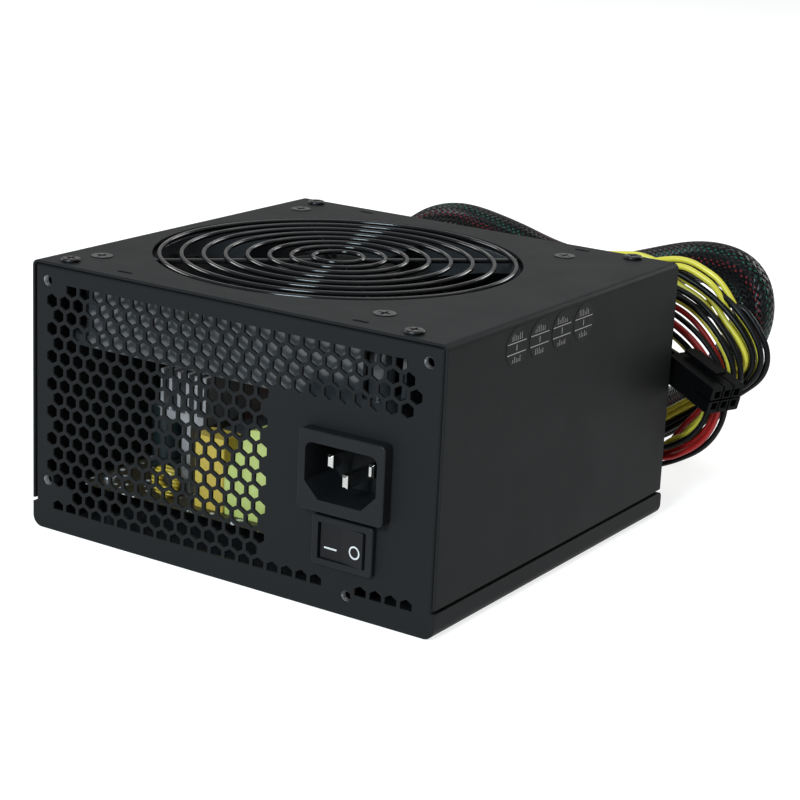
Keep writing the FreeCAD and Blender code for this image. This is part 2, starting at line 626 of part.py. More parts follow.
def line_filter_choke():
    """A taped coil that leans to the right, upright along its right side."""
    outline = [(-15.3, BOARD_TOP), (-15.8, 23), (-9.5, 37), (-6, 40.5), (3, 41.5), (3, BOARD_TOP)]
    shape = polygon([(x, -49, z) for x, z in outline]).extrude(vec(0, 11, 0))
    edges = [e for e in shape.Edges if abs(e.Vertexes[1].Point.y - e.Vertexes[0].Point.y) > 1
             and e.CenterOfMass.z > BOARD_TOP + 1]
    return shape.makeFillet(1.6, edges)


def to220(x, y, side):
    """A power transistor standing against the web, its back towards it."""
    x_in, x_mid, x_out = x, x + side * 1.3, x + side * 4.5
    body = block(min(x_in, x_out), y - 5, BOARD_TOP + 5, max(x_in, x_out), y + 5, BOARD_TOP + 14)
    tab = block(min(x_in, x_mid), y - 5, BOARD_TOP + 13.9, max(x_in, x_mid), y + 5, BOARD_TOP + 20)
    leg_x = x + side * 2.4
    legs = [block(leg_x - 0.4, y + d - 0.5, BOARD_TOP, leg_x + 0.4, y + d + 0.5, BOARD_TOP + 5.1)
            for d in (-2.54, 0, 2.54)]
    return fused([body, tab] + legs)


def winding_bobbin(x0, y0, x1, y1, height):
    """A transformer: ferrite yokes round the ends of a taped winding."""
    core = [block(x0, y0, BOARD_TOP + 3, x1, y0 + 4, BOARD_TOP + height),
            block(x0, y1 - 4, BOARD_TOP + 3, x1, y1, BOARD_TOP + height),
            block(x0, y0, BOARD_TOP + height - 4, x1, y1, BOARD_TOP + height)]
    core = fused(core)
    foot = block(x0 + 1, y0 + 1, BOARD_TOP, x1 - 1, y1 - 1, BOARD_TOP + 3)
    winding = rounded_block(x0 - 1.2, y0 + 4, BOARD_TOP + 3, x1 + 1.2, y1 - 4, BOARD_TOP + height - 4, 1.5, 1)
    return core, fused([winding, foot])


# ---- connector housings ----
def pin_housing(columns, rows, length, pockets=True):
    """A latch-side-up housing along +X: wires enter at x = 0, separate contact cells mate at x = length."""
    half_w, half_h = columns * PITCH / 2 + 0.6, rows * PITCH / 2 + 0.6
    shape = rounded_block(0, -half_w, -half_h, length, half_w, half_h, 0.5, 0)
    if pockets:
        holes = []
        for i in range(columns):
            for j in range(rows):
                y, z = (i - (columns - 1) / 2) * PITCH, (j - (rows - 1) / 2) * PITCH
                holes.append(block(length - 9, y - SOCKET_R, z - SOCKET_R,
                                   length + 1, y + SOCKET_R, z + SOCKET_R))
        gap = CELL_GAP / 2
        for i in range(1, columns):
            y = (i - columns / 2) * PITCH
            holes.append(block(length - CELL_L, y - gap, -half_h - 1, length + 1, y + gap, half_h + 1))
        for j in range(1, rows):
            z = (j - rows / 2) * PITCH
            holes.append(block(length - CELL_L, -half_w - 1, z - gap, length + 1, half_w + 1, z + gap))
        shape = shape.cut(Part.makeCompound(holes))
    latch = [block(7, -2.2, half_h - 0.2, 10, 2.2, half_h + 2.2),
             block(2, -2.2, half_h + 1.2, length - 5, 2.2, half_h + 2.3)]
    return fused([shape] + latch)


def flat_plug(half_w, half_h, length, slot_w, slot_h):
    """A flat drive connector along +X with one hollow in its mating face."""
    shape = rounded_block(0, -half_w, -half_h, length, half_w, half_h, 0.6, 0)
    return shape.cut(block(length - 6, -slot_w, -slot_h, length + 1, slot_w, slot_h))


def cable_end(route):
    """The last point of a route and the direction it arrives in."""
    along = vec(*route[-1]) - vec(*route[-2])
    along.normalize()
    return vec(*route[-1]), along


def placed(shape, at, along, up=UP):
    """Moves a shape modelled along +X so that it starts at a point and runs along a direction."""
    x_axis = vec(along.x, along.y, along.z)
    x_axis.normalize()
    y_axis = up.cross(x_axis)
    y_axis.normalize()
    z_axis = x_axis.cross(y_axis)
    matrix = FreeCAD.Matrix(x_axis.x, y_axis.x, z_axis.x, at.x, x_axis.y, y_axis.y, z_axis.y, at.y,
                            x_axis.z, y_axis.z, z_axis.z, at.z, 0, 0, 0, 1)
    moved = shape.copy()
    moved.Placement = FreeCAD.Placement(matrix)
    return moved


def wire_fan(diameter, half_w, half_h, length):
    """The closed outer shape of a cable's wires as they spread from round to the width of a plug."""
    sections = []
    for share in (0.0, 0.5, 1.0):
        ease = share * share * (3 - 2 * share)
        w = diameter / 2 + (half_w - diameter / 2) * ease
        h = diameter / 2 + (half_h - diameter / 2) * ease
        rim = [math.radians(a) for a in range(0, 361, 30)]
        points = [vec(share * length, w * math.cos(a), h * math.sin(a)) for a in rim]
        sections.append(Part.makePolygon(points))
    return Part.makeLoft(sections, True, True)


# ---- the model ----
os.makedirs("parts", exist_ok=True)

save("base_shell", base_shell())
save("cover_shell", cover_shell())
save("cover_screws", *[pan_screw(x, y, CASE_H, 3.0, 1.1, 1.5, 6) for x, y in COVER_SCREWS])

save("fan_guard", fan_guard())
save("fan_frame", fan_frame())
save("fan_mount", fan_mount())
save("fan_screws", *[fan_screw(x, y) for x, y in fan_corners()])
save("fan_impeller", fan_impeller())
save("fan_yoke", ring(19.0, 18.2, FAN_X, FAN_Y, FAN_LOW + 5, FAN_LOW + 20))
save("fan_magnet", ring(18.2, 16.2, FAN_X, FAN_Y, FAN_LOW + 5.5, FAN_LOW + 16))
save("fan_shaft", pillar(1.5, FAN_X, FAN_Y, FAN_LOW + 2.6, FAN_TOP - 2.4))
save("fan_bearing", ring(3.0, 1.55, FAN_X, FAN_Y, FAN_LOW + 3, FAN_LOW + 14.5))
save("fan_stator", fan_stator())
save("fan_coils", *fan_coils())

pins = inlet_pins()
save("inlet_socket", inlet_socket(pins))
save("inlet_pins", *pins)
save("switch_housing", switch_housing())
save("switch_rocker", switch_rocker())
tabs = switch_terminals()
save("switch_terminals", *tabs)
save("terminal_boots", *terminal_boots(pins + tabs))

# mains wiring held inside the case
lead_r = 1.3
leads = [
    tube("live_in", [(37, -40.5, 44.8), (37, -35, 44.8), (36.3, -31.5, 39), (37.3, -31, 30),
                     (39.5, -34.5, 21.8), (39.5, -43.5, 21.8)], 2 * lead_r),
    tube("live_out", [(48.5, -43.5, 21.8), (48.5, -38, 21.8), (48.5, -34, 18),
                      (48.5, -34, BOARD_TOP)], 2 * lead_r),
    tube("neutral", [(51, -40.5, 44.8), (51, -34, 44.8), (52.5, -30.5, 38), (53, -30, 22),
                     (53, -30, BOARD_TOP)], 2 * lead_r),
    tube("earth", [(44, -40.5, 40.8), (44, -34, 40.8), (43, -29.5, 34), (42.5, -29, 20),
                   (42.5, -29, BOARD_TOP)], 2 * lead_r),
]
save("mains_leads", *leads)

# the fan's lead, from a strut of the fan down to its plug on the board
save("fan_plug", block(31, 6, BOARD_TOP, 37, 12, BOARD_TOP + 9))
save("fan_lead", tube("fan_lead", [(37, 17.1, FAN_LOW), (37, 17.1, 50), (35.5, 13.5, 40), (34, 9, 31),
                                   (34, 9, BOARD_TOP + 9)], 1.8))

# board, its sheet and its fixings
board = block(-69, BOARD_FRONT, BOARD_Z, 69, 60, BOARD_TOP)
board = board.cut(Part.makeCompound([pillar(1.4, x, y, BOARD_Z - 1, BOARD_TOP + 1) for x, y in STANDOFFS]))
save("main_board", board)
save("board_standoffs", *[ring(2.8, 1.4, x, y, SHEET, BOARD_Z) for x, y in STANDOFFS])
save("board_screws", *[pan_screw(x, y, BOARD_TOP, 2.75, 1.8, 1.4, 6) for x, y in STANDOFFS])
sheet = block(-68, -62, SHEET, 68, 62, SHEET + 0.3)
save("insulator_sheet", sheet.cut(Part.makeCompound([pillar(3.2, x, y, 0, 3) for x, y in STANDOFFS])))

save("primary_heatsink", comb_heatsink(PRIMARY_SINK_X, -42, 24, -1.5))
save("secondary_heatsink", comb_heatsink(SECONDARY_SINK_X, -22, 40, 1.5))
power_x = PRIMARY_SINK_X - SINK_WEB / 2
output_x = SECONDARY_SINK_X - SINK_WEB / 2
save("power_transistors", to220(power_x, -24, -1), to220(power_x, -8, -1), to220(output_x, -8, -1),
     to220(output_x, 12, -1))
core, winding = winding_bobbin(-29, -38, -13, -10, 21)
save("main_transformer_core", core)
save("main_transformer_winding", winding)
core, winding = winding_bobbin(-10, -6, 3, 10, 17)
save("standby_transformer_core", core)
save("standby_transformer_winding", winding)
save("line_filter_choke", line_filter_choke())
save("damping_choke", upright_toroid(3.4, 1.9, -39.5, -48, BACK))
save("film_capacitors", board_block(-27.6, -49, -16.2, -40, 23.5), board_block(24, -51, 34, -40, 18),
     board_block(58, -42, 66, -20, 17))
save("disc_capacitors", *[Part.makeCylinder(4.2, 3, vec(x, y, BOARD_TOP + 4.2), BACK).cut(
    block(x - 9, y - 9, 0, x + 9, y + 9, BOARD_TOP)) for x, y in ((14, -50), (14, -43))])
save("bulk_capacitors", can(13, 52, -8, 40), can(13, 52, 20, 40))
cans = [can(5, x, y, 21) for x, y in ((-60, -22), (-60, -8), (-60, 6), (-60, 20),
                                      (-52, 34), (-38, 36), (-22, 36), (-8, 38))]
save("output_capacitors", *cans)
save("output_choke", upright_toroid(9.5, 4.2, -18, 14, RIGHT))
save("bridge_rectifier", board_block(24, -38, 30, -14, 16))
save("fuse", rod(2.5, vec(21, -50, BOARD_TOP + 2.5), vec(21, -34.5, BOARD_TOP + 2.5)))

# cable outlet
rim = (OUTLET_HOLE[0] + 2 * OUTLET_RIM, OUTLET_HOLE[1] + 2 * OUTLET_RIM)
neck = (OUTLET_HOLE[0] + 2 * OUTLET_WALL, OUTLET_HOLE[1] + 2 * OUTLET_WALL)
gland = fused([face_block(rim, OUTLET_X, OUTLET_Z, HALF_D, HALF_D + 2, 6.0),
               face_block(neck, OUTLET_X, OUTLET_Z, HALF_D - 3.5, HALF_D, 4.5)])
save("cable_gland", gland.cut(face_block(OUTLET_HOLE, OUTLET_X, OUTLET_Z, HALF_D - 5, HALF_D + 3, 3.5)))

CABLES = {"main_cable": (MAIN_ROUTE, MAIN_D, 51.0), "cpu_cable": (CPU_ROUTE, CPU_D, 45.0),
          "drive_cable_b": (DRIVE_B_ROUTE, DRIVE_B_D, 55.0),
          "drive_cable_a": (DRIVE_A_ROUTE, DRIVE_A_D, 55.0),
          "graphics_cable": (PCIE_ROUTE, PCIE_D, 55.5)}
harness = []
for name, (route, diameter, root_y) in CABLES.items():
    x, y, z = route[0]
    save(name, tube(name, route, diameter))
    inner = [(x, root_y, BOARD_TOP), (x, root_y, z - 15), (x, root_y + 3, z - 5), (x, y - 6, z), (x, y, z)]
    harness.append(tube(name + "_inside", inner, diameter))
save("output_harness", *harness)

# cable ends, each in line with the last run of its cable
end, along = cable_end(MAIN_ROUTE)
save("main_wire_fan", placed(wire_fan(MAIN_D, 25.0, 4.2, FAN_OUT), end, along))
save("main_plug", placed(pin_housing(12, 2, PLUG_L), end + along * FAN_OUT, along))
end, along = cable_end(CPU_ROUTE)
save("cpu_plugs", *[placed(pin_housing(2, 2, PLUG_L), end + UP * dz, along, BACK) for dz in (-4.9, 4.9)])
save("graphics_plug", placed(pin_housing(3, 2, PLUG_L + 3), vec(*PCIE_ROUTE[-1]), vec(*PCIE_AXIS)))
end, along = cable_end(DRIVE_A_ROUTE)
save("drive_plug_a", placed(flat_plug(11.5, 3.2, 13, 10.0, 1.4), end, along, BACK))
end, along = cable_end(DRIVE_B_ROUTE)
save("drive_plug_b", placed(flat_plug(10.5, 4.2, 15, 9.0, 3.0), end, along, BACK))

# four plain inspection stickers on the right side, each a thin disc
stickers = []
for n in range(4):
    stickers.append(rod(5.9, vec(HALF_W, -33.0 + 13.2 * n, 78.2), vec(HALF_W + 0.1, -33.0 + 13.2 * n, 78.2)))
save("inspection_stickers", *stickers)
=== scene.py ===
import math
import random

import bpy
from mathutils import Matrix, Vector
from mathutils.noise import noise


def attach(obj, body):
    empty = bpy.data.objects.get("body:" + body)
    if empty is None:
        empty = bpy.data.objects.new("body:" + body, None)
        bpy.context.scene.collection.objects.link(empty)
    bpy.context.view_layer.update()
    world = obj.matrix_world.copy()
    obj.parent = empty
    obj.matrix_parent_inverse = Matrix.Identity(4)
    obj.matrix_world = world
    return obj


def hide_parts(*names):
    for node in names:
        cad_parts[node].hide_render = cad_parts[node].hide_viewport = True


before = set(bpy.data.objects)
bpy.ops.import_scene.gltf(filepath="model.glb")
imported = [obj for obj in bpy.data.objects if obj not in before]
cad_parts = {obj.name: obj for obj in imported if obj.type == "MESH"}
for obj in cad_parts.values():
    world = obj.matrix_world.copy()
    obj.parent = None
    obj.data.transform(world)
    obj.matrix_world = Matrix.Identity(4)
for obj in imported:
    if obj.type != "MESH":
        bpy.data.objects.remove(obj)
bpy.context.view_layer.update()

ROOT = "case"
MM = 0.001
rng = random.Random(7)

# ---- case and panel sizes that the added pieces need (metres) ----
HALF_W = 0.075
FACE_Y = -0.070
FIXING_HOLES = [(-0.069, 0.080), (0.069, 0.080), (-0.069, 0.016), (0.045, 0.006)]
FIXING_R = 0.00175
COLLAR_L = 0.003
ROCKER_PIVOT = Vector((0.044, -0.0695, 0.0218))
ROCKER_TILT = math.radians(-4.0)
ROCKER_FACET = math.atan2(0.63, 12.0)
ROCKER_RIDGE = 0.0019
STICKER_FACE_X = HALF_W + 0.00012
STICKER_Y = [-0.033 + 0.0132 * n for n in range(4)]
STICKER_Z = 0.0782

# ---- the photo's camera (metres, and millimetres for its lens and sensor) ----
CAMERA_PLACE = (0.36236, -0.54440, 0.23185)
CAMERA_RIGHT = Vector((0.83523, 0.54796, 0.04611))
CAMERA_UP = Vector((-0.19074, 0.21006, 0.95890))
CAMERA_AHEAD = Vector((-0.51575, 0.80970, -0.27997))
LENS = 95.9
SENSOR = 36.0


# ---- materials ----
class Shader:
    """A principled material and short ways to wire procedural detail into it."""

    def __init__(self, name, color, roughness, metallic=0.0, coat=0.0, specular=0.5):
        self.material = bpy.data.materials.new(name)
        self.material.use_nodes = True
        self.nodes = self.material.node_tree.nodes
        self.links = self.material.node_tree.links
        self.bsdf = self.nodes["Principled BSDF"]
        self.set("Base Color", (*color, 1.0))
        self.set("Roughness", roughness)
        self.set("Metallic", metallic)
        self.set("Coat Weight", coat)
        self.set("Coat Roughness", 0.15)
        self.set("Specular IOR Level", specular)
        self.normal = None

    def set(self, socket, value):
        self.bsdf.inputs[socket].default_value = value

    def link(self, source, socket):
        self.links.new(source, self.bsdf.inputs[socket])

    def node(self, kind, **inputs):
        """A new node, with each named input set to a number or linked to a socket."""
        made = self.nodes.new(kind)
        for key, value in inputs.items():
            socket = made.inputs[key.replace("_", " ")]
            if isinstance(value, bpy.types.NodeSocket):
                self.links.new(value, socket)
            else:
                socket.default_value = value
        return made

    def math(self, operation, a, b=None):
        """A sum on one or two values, each a number or a socket."""
        made = self.nodes.new("ShaderNodeMath")
        made.operation = operation
        for socket, value in zip(made.inputs, (a, b)):
            if isinstance(value, bpy.types.NodeSocket):
                self.links.new(value, socket)
            elif value is not None:
                socket.default_value = value
        return made.outputs[0]

    def place(self, stretch=(1, 1, 1)):
        """Object coordinates in metres, stretched."""
        source = self.nodes.new("ShaderNodeTexCoord").outputs["Object"]
        made = self.node("ShaderNodeMapping", Vector=source)
        made.inputs["Scale"].default_value = stretch
        return made.outputs[0]

    def axes(self, source):
        made = self.node("ShaderNodeSeparateXYZ", Vector=source)
        return made.outputs[0], made.outputs[1], made.outputs[2]

    def noise(self, scale, detail=3.0, stretch=(1, 1, 1)):
        made = self.node("ShaderNodeTexNoise", Vector=self.place(stretch), Scale=scale, Detail=detail,
                         Roughness=0.55)
        return made.outputs[0]

    def bands(self, value, colors):
        """Plain bands of one width, one for each colour, over a value from 0 to 1."""
        made = self.node("ShaderNodeValToRGB", Fac=value)
        ramp = made.color_ramp
        ramp.interpolation = "CONSTANT"
        while len(ramp.elements) < len(colors):
            ramp.elements.new(0.5)
        for number, (element, color) in enumerate(zip(ramp.elements, colors)):
            element.position = number / len(colors)
            element.color = (*color, 1.0)
        return made.outputs[0]

    def grey(self, value, low, high, at=(0.3, 0.7)):
        """A remap of a value to the range low..high."""
        made = self.node("ShaderNodeMapRange", Value=value)
        made.inputs["From Min"].default_value = at[0]
        made.inputs["From Max"].default_value = at[1]
        made.inputs["To Min"].default_value = low
        made.inputs["To Max"].default_value = high
        return made.outputs[0]

    def mix(self, factor, first, second):
        """A colour between two, each a colour or a socket."""
        made = self.nodes.new("ShaderNodeMix")
        made.data_type = "RGBA"
        for index, value in ((0, factor), (6, first), (7, second)):
            socket = made.inputs[index]
            if isinstance(value, bpy.types.NodeSocket):
                self.links.new(value, socket)
            else:
                socket.default_value = value if index == 0 else (*value, 1.0)
        return made.outputs[2]

    def tint(self, low, high, scale, stretch=(1, 1, 1)):
        """Colour that drifts between two tones."""
        self.link(self.mix(self.grey(self.noise(scale, 4.0, stretch), 0, 1), low, high), "Base Color")
        return self

    def scuff(self, low, high, scale, stretch=(1, 1, 1)):
        """Roughness that drifts between two values."""
        self.link(self.grey(self.noise(scale, 5.0, stretch), low, high), "Roughness")
        return self

    def bump(self, height, strength, distance):
        made = self.node("ShaderNodeBump", Height=height, Strength=strength, Distance=distance)
        if self.normal:
            self.links.new(self.normal, made.inputs["Normal"])
        self.normal = made.outputs[0]
        self.link(self.normal, "Normal")
        return self

    def grain(self, scale, strength, distance, stretch=(1, 1, 1)):
        """A fine uneven skin of a given depth in metres."""
        return self.bump(self.noise(scale, 2.0, stretch), strength, distance)

    def soft_edges(self, radius):
        """Shading that rounds the edges by a radius in metres."""
        made = self.nodes.new("ShaderNodeBevel")
        made.samples = 4
        made.inputs["Radius"].default_value = radius
        self.normal = made.outputs[0]
        self.link(self.normal, "Normal")
        return self


def enamel():
    """Black powder coat: a fine orange-peel skin with faint clouding."""
    shader = Shader("powder_coat", (0.0092, 0.0096, 0.0102), 0.5, specular=0.055)
    shader.soft_edges(0.00035)
    shader.tint((0.0094, 0.0096, 0.0098), (0.01, 0.0102, 0.0103), 18.0)
    shader.scuff(0.48, 0.53, 60.0)
    shader.grain(2600.0, 0.32, 0.00006)
    shader.grain(420.0, 0.12, 0.0001)
    return shader.material


def moulded(name, low, high, rough, coat=0.0, scale=900.0, strength=0.25, specular=0.5, ior=1.5):
    """Moulded plastic, tape or paint: two close tones, uneven gloss and a fine grain."""
    shader = Shader(name, high, rough[0], coat=coat, specular=specular)
    shader.set("IOR", ior)
    shader.soft_edges(0.0002)
    shader.tint(low, high, 45.0)
    shader.scuff(rough[0], rough[1], 130.0)
    shader.grain(scale, strength, 0.00005)
    return shader.material


def metal(name, low, high, rough, brush=(1, 1, 1), metallic=1.0):
    """Bare metal; brush draws its marks out along one axis."""
    shader = Shader(name, high, rough[0], metallic=metallic)
    shader.soft_edges(0.00012)
    shader.tint(low, high, 160.0, brush)
    shader.scuff(rough[0], rough[1], 320.0, brush)
    shader.grain(700.0, 0.2, 0.00003, brush)
    return shader.material


def sleeved_can(name, color, mark, top_z):
    """A capacitor: shrunk sleeve with a pale polarity stripe, bare aluminium on top."""
    shader = Shader(name, color, 0.3)
    x, _, z = shader.axes(shader.place())
    top = shader.math("GREATER_THAN", z, top_z)
    stripe = shader.math("LESS_THAN", shader.math("FRACT", shader.math("MULTIPLY", x, 38.0)), 0.14)
    body = shader.mix(stripe, color, mark)
    shader.link(shader.mix(top, body, (0.55, 0.56, 0.58)), "Base Color")
    shader.link(top, "Metallic")
    shader.scuff(0.25, 0.42, 200.0)
    shader.grain(900.0, 0.15, 0.00004)
    return shader.material


def wound(name, low, high, pitch):
    """Enamelled wire turns side by side, pitch metres apart, darker in the grooves between turns as painted
    shade.
    """
    shader = Shader(name, high, 0.25, coat=0.6)
    _, y, z = shader.axes(shader.place())
    slant = shader.math("ADD", z, shader.math("MULTIPLY", y, 0.35))
    turns = shader.math("SINE", shader.math("MULTIPLY", slant, 2 * math.pi / pitch))
    # The colour falls to the low tone in the grooves between turns: painted shade; the bump shapes the
    # turns.
    shader.link(shader.mix(shader.grey(turns, 0, 1, (-0.9, 0.4)), low, high), "Base Color")
    shader.bump(turns, 0.7, 0.0004)
    return shader.material


def laminate():
    """Dark brown circuit laminate with pale solder dots and darker tracks."""
    shader = Shader("laminate", (0.5, 0.4, 0.2), 0.5)
    dots = shader.node("ShaderNodeTexVoronoi", Vector=shader.place(), Scale=260.0)
    tracks = shader.node("ShaderNodeTexWave", Vector=shader.place((1, 1, 0)), Scale=90.0, Distortion=7.0,
                         Detail=1.0)
    track_mask = shader.grey(tracks.outputs[1], 0, 1, (0.45, 0.5))
    base = shader.mix(track_mask, (0.055, 0.042, 0.022), (0.035, 0.028, 0.015))
    solder = shader.math("LESS_THAN", dots.outputs["Distance"], 0.22)
    shader.link(shader.mix(solder, base, (0.66, 0.66, 0.64)), "Base Color")
    shader.scuff(0.35, 0.6, 240.0)
    shader.grain(1600.0, 0.25, 0.00005)
    return shader.material


def insulation(name, color, dull, specular=0.45):
    """PVC wire insulation: slightly uneven colour and a soft gloss."""
    shader = Shader(name, color, 0.34, specular=specular)
    shader.tint(dull, color, 55.0)
    shader.scuff(0.27, 0.42, 240.0)
    shader.grain(650.0, 0.12, 0.00005)
    return shader.material


def braid():
    """Black braided mesh over coloured wires, the wires' tones dimmed as painted shade beneath the mesh;
    uses UV: metres along the cable, metres round it.
    """
    shader = Shader("braided_sleeve", (0.01, 0.01, 0.011), 0.2, specular=0.1)
    pitch = 0.0021
    lanes_width = 0.0236
    uv = shader.nodes.new("ShaderNodeTexCoord").outputs["UV"]
    along, around, _ = shader.axes(uv)
    warp = shader.math("DIVIDE", shader.math("ADD", along, around), pitch)
    weft = shader.math("DIVIDE", shader.math("SUBTRACT", along, around), pitch)

    def profile(value):
        """Height across one carrier: 1 on its middle, 0 at its edge."""
        centred = shader.math("SUBTRACT", shader.math("FRACT", value), 0.5)
        return shader.math("SUBTRACT", 1.0, shader.math("MULTIPLY", shader.math("ABSOLUTE", centred), 2.0))

    cells = shader.math("ADD", shader.math("FLOOR", warp), shader.math("FLOOR", weft))
    over = shader.math("GREATER_THAN", shader.math("ABSOLUTE", shader.math("MODULO", cells, 2.0)), 0.5)
    one, other = profile(warp), profile(weft)
    lifted = shader.math("ADD", shader.math("MULTIPLY", over, 0.35), one)
    lowered = shader.math("ADD", shader.math("MULTIPLY", shader.math("SUBTRACT", 1.0, over), 0.35), other)
    height = shader.math("MAXIMUM", lifted, lowered)
    gap = shader.math("MULTIPLY", shader.math("LESS_THAN", one, 0.4), shader.math("LESS_THAN", other, 0.4))
    wander = shader.math("MULTIPLY", shader.math("SINE", shader.math("MULTIPLY", along, 26.0)), 0.004)
    lane = shader.math("FRACT", shader.math("MULTIPLY", shader.math("ADD", around, wander), 1 / lanes_width))
    # Dim tones for the coloured wires seen in the gaps: painted shade of the mesh lying over them; the red,
    # green and black lanes themselves are real.
    red, green, dark = (0.13, 0.012, 0.016), (0.008, 0.09, 0.055), (0.004, 0.004, 0.004)
    lanes = [dark, red, dark, dark, green, dark, dark, red, dark, green, dark]
    shaded_wires_beneath = shader.bands(lane, lanes)
    wear = shader.grey(shader.noise(900.0), 0, 1)
    mesh_color = shader.mix(wear, (0.0015, 0.0015, 0.0018), (0.004, 0.004, 0.0045))
    shader.link(shader.mix(gap, mesh_color, shaded_wires_beneath), "Base Color")
    shader.link(shader.grey(gap, 0.26, 0.6, (0, 1)), "Roughness")
    shader.bump(height, 0.9, 0.0005)
    return shader.material


BLACK_PLASTIC = moulded("black_plastic", (0.0058, 0.0062, 0.0068), (0.0085, 0.0089, 0.0095), (0.36, 0.48),
                        specular=0.13)
ROCKER_PLASTIC = moulded("rocker_plastic", (0.005, 0.005, 0.0055), (0.008, 0.008, 0.009), (0.3, 0.42),
                         scale=600.0, specular=0.12)
PLUG_PLASTIC = moulded("plug_nylon", (0.0011, 0.0011, 0.0012), (0.0022, 0.0022, 0.0024), (0.34, 0.46),
                       scale=600.0, specular=0.04)
BLACK_STEEL = metal("black_zinc", (0.018, 0.018, 0.019), (0.04, 0.04, 0.042), (0.3, 0.45))
STEEL = metal("plain_steel", (0.45, 0.45, 0.46), (0.68, 0.68, 0.7), (0.22, 0.4))
NICKEL = metal("nickel", (0.42, 0.415, 0.4), (0.6, 0.595, 0.57), (0.14, 0.26))
ALUMINIUM = metal("extruded_aluminium", (0.42, 0.42, 0.435), (0.58, 0.58, 0.6), (0.36, 0.55), (1, 0.05, 1),
                  metallic=0.85)
YELLOW_WIRE = insulation("wire_yellow", (0.58, 0.52, 0.045), (0.48, 0.42, 0.035))
BLACK_WIRE = insulation("wire_black", (0.002, 0.002, 0.0022), (0.004, 0.004, 0.0042), 0.15)
RED_WIRE = insulation("wire_red", (0.27, 0.008, 0.007), (0.2, 0.006, 0.005), 0.3)
ORANGE_WIRE = insulation("wire_orange", (0.7, 0.2, 0.02), (0.58, 0.16, 0.015))
BLUE_WIRE = insulation("wire_blue", (0.03, 0.09, 0.45), (0.025, 0.07, 0.36))
GREEN_WIRE = insulation("wire_green", (0.03, 0.3, 0.08), (0.025, 0.24, 0.06))
PRINT = insulation("pale_print", (0.5, 0.5, 0.49), (0.42, 0.42, 0.41))
FADED_PRINT = insulation("faded_print", (0.32, 0.32, 0.3), (0.24, 0.24, 0.22))
SLEEVE = braid()
SHRINK = moulded("heat_shrink", (0.01, 0.01, 0.011), (0.016, 0.016, 0.017), (0.42, 0.55), scale=350.0)

YELLOW_TAPE = moulded("yellow_tape", (0.62, 0.44, 0.03), (0.74, 0.56, 0.05), (0.25, 0.4),
                      coat=0.4, scale=300.0, strength=0.2)
GREEN_TAPE = moulded("green_yellow_tape", (0.52, 0.6, 0.14), (0.66, 0.72, 0.24), (0.2, 0.35),
                     coat=0.5, scale=300.0, strength=0.2)
FERRITE = moulded("ferrite", (0.03, 0.03, 0.032), (0.05, 0.05, 0.052), (0.55, 0.7), scale=500.0)
FILM_CASE = moulded("film_case", (0.6, 0.42, 0.06), (0.7, 0.52, 0.09), (0.25, 0.4), scale=500.0)
CERAMIC = moulded("dipped_ceramic", (0.05, 0.14, 0.4), (0.08, 0.2, 0.5), (0.2, 0.35), scale=400.0)
PALE_PLASTIC = moulded("pale_nylon", (0.66, 0.64, 0.56), (0.76, 0.74, 0.66), (0.35, 0.5))
FILM = moulded("insulator_film", (0.014, 0.014, 0.015), (0.02, 0.02, 0.022), (0.25, 0.35), scale=200.0)
BOOT = moulded("boot_sleeve", (0.45, 0.07, 0.05), (0.55, 0.1, 0.07), (0.3, 0.45))
FUSE_GLASS = moulded("fuse_tube", (0.7, 0.72, 0.7), (0.8, 0.82, 0.8), (0.08, 0.16), coat=0.6)
BRASS = metal("brass", (0.55, 0.4, 0.16), (0.72, 0.54, 0.24), (0.25, 0.4))
STICKER = moulded("sticker_film", (0.005, 0.005, 0.0048), (0.0065, 0.0065, 0.006), (0.34, 0.42),
                  scale=300.0, specular=0.05)
FAN_PLASTIC = moulded("fan_plastic", (0.0016, 0.0016, 0.0018), (0.003, 0.003, 0.0033), (0.28, 0.4),
                      scale=500.0, strength=0.12, specular=0.03)
# The fan frame's black plastic, given a lighter grey than the rest of the fan: painted sheen of the front
# light on its side.
FAN_FRAME_SHEEN = moulded("fan_frame_plastic", (0.03, 0.032, 0.034), (0.042, 0.044, 0.047), (0.1, 0.18),
                   scale=200.0, strength=0.05, specular=0.7, ior=1.55)
GUARD_PAINT = moulded("guard_paint", (0.003, 0.003, 0.0033), (0.0055, 0.0055, 0.006), (0.1, 0.16),
                      scale=500.0, strength=0.08, specular=0.3)

